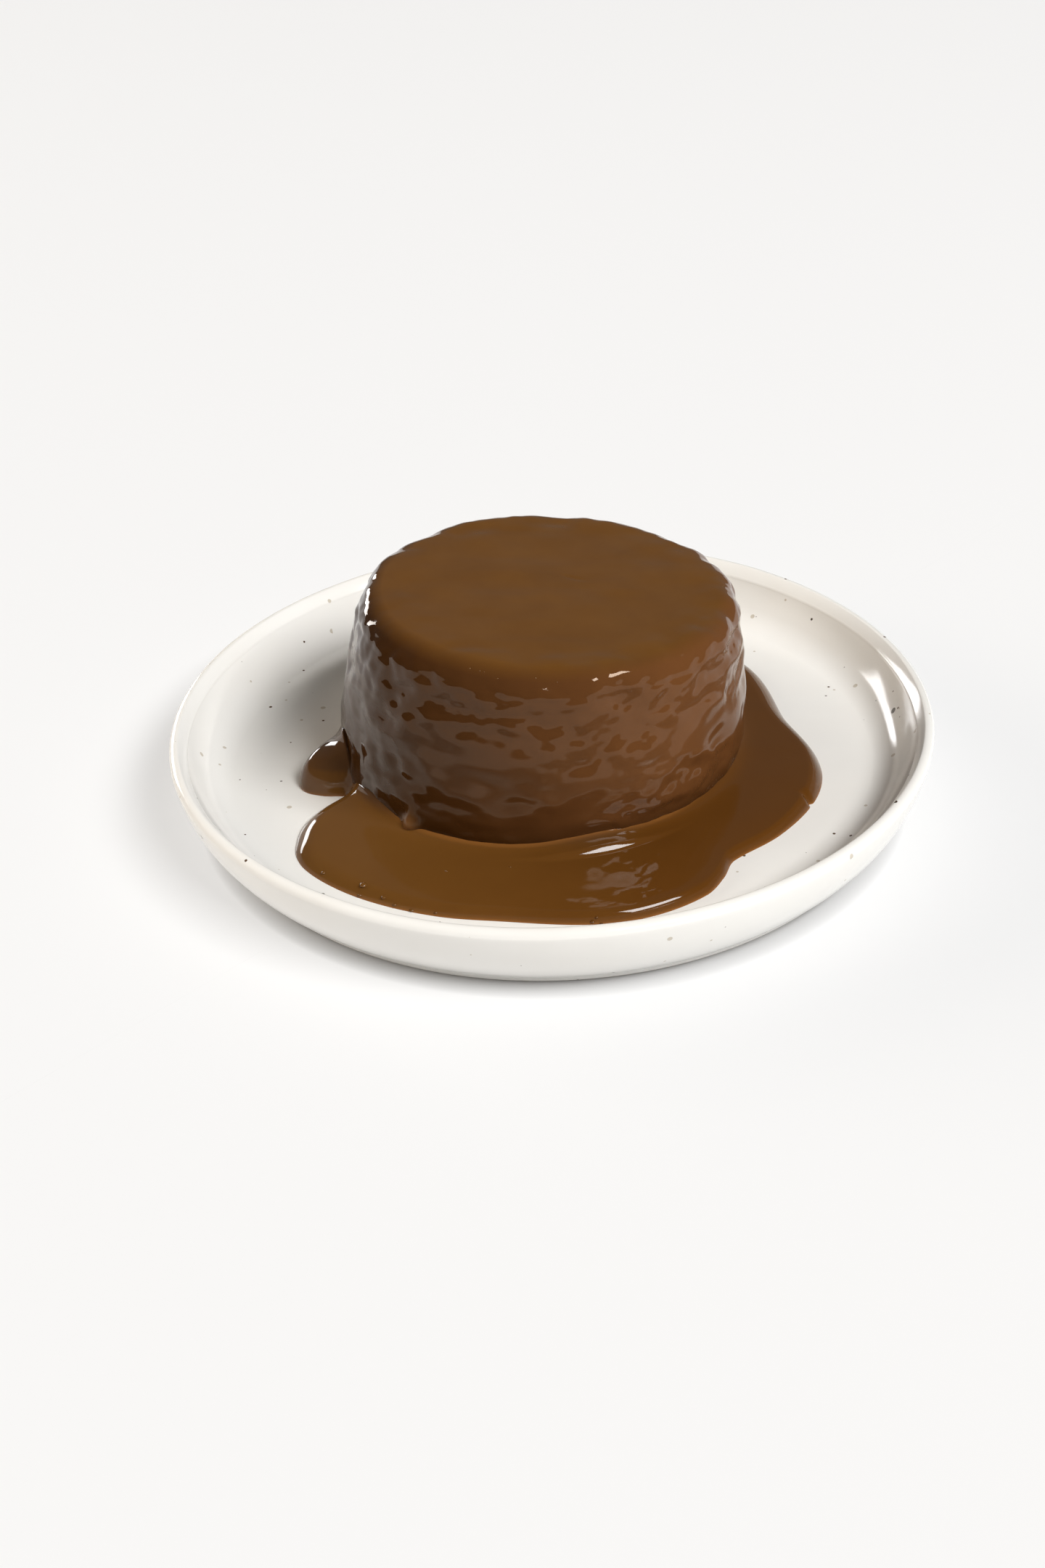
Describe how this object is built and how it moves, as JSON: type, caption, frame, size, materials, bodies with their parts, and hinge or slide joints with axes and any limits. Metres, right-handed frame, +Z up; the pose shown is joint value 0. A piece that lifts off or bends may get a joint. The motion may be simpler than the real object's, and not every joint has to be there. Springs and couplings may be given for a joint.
{
  "type": "chocolate lava cake",
  "caption": "Glazed round chocolate lava cake in a pool of chocolate sauce on a rimmed stoneware dessert plate.",
  "frame": {"origin": "centre of the plate's foot ring, on the surface that the plate stands on", "axes": "+Z up, -Y towards the front where the sauce reaches furthest, +X to the right"},
  "size_m": [0.155, 0.155, 0.0481],
  "materials": {
    "stoneware_glaze": "glossy off-white glaze with fine dark iron specks",
    "cake_glaze": "set chocolate glaze, glossy and uneven over the crumb",
    "chocolate_sauce": "wet, thick chocolate sauce with a bead at its edge"
  },
  "bodies": {
    "root": {"plate": "stoneware_glaze", "cake": "cake_glaze", "sauce_pool": "chocolate_sauce"}
  },
  "joints": []
}
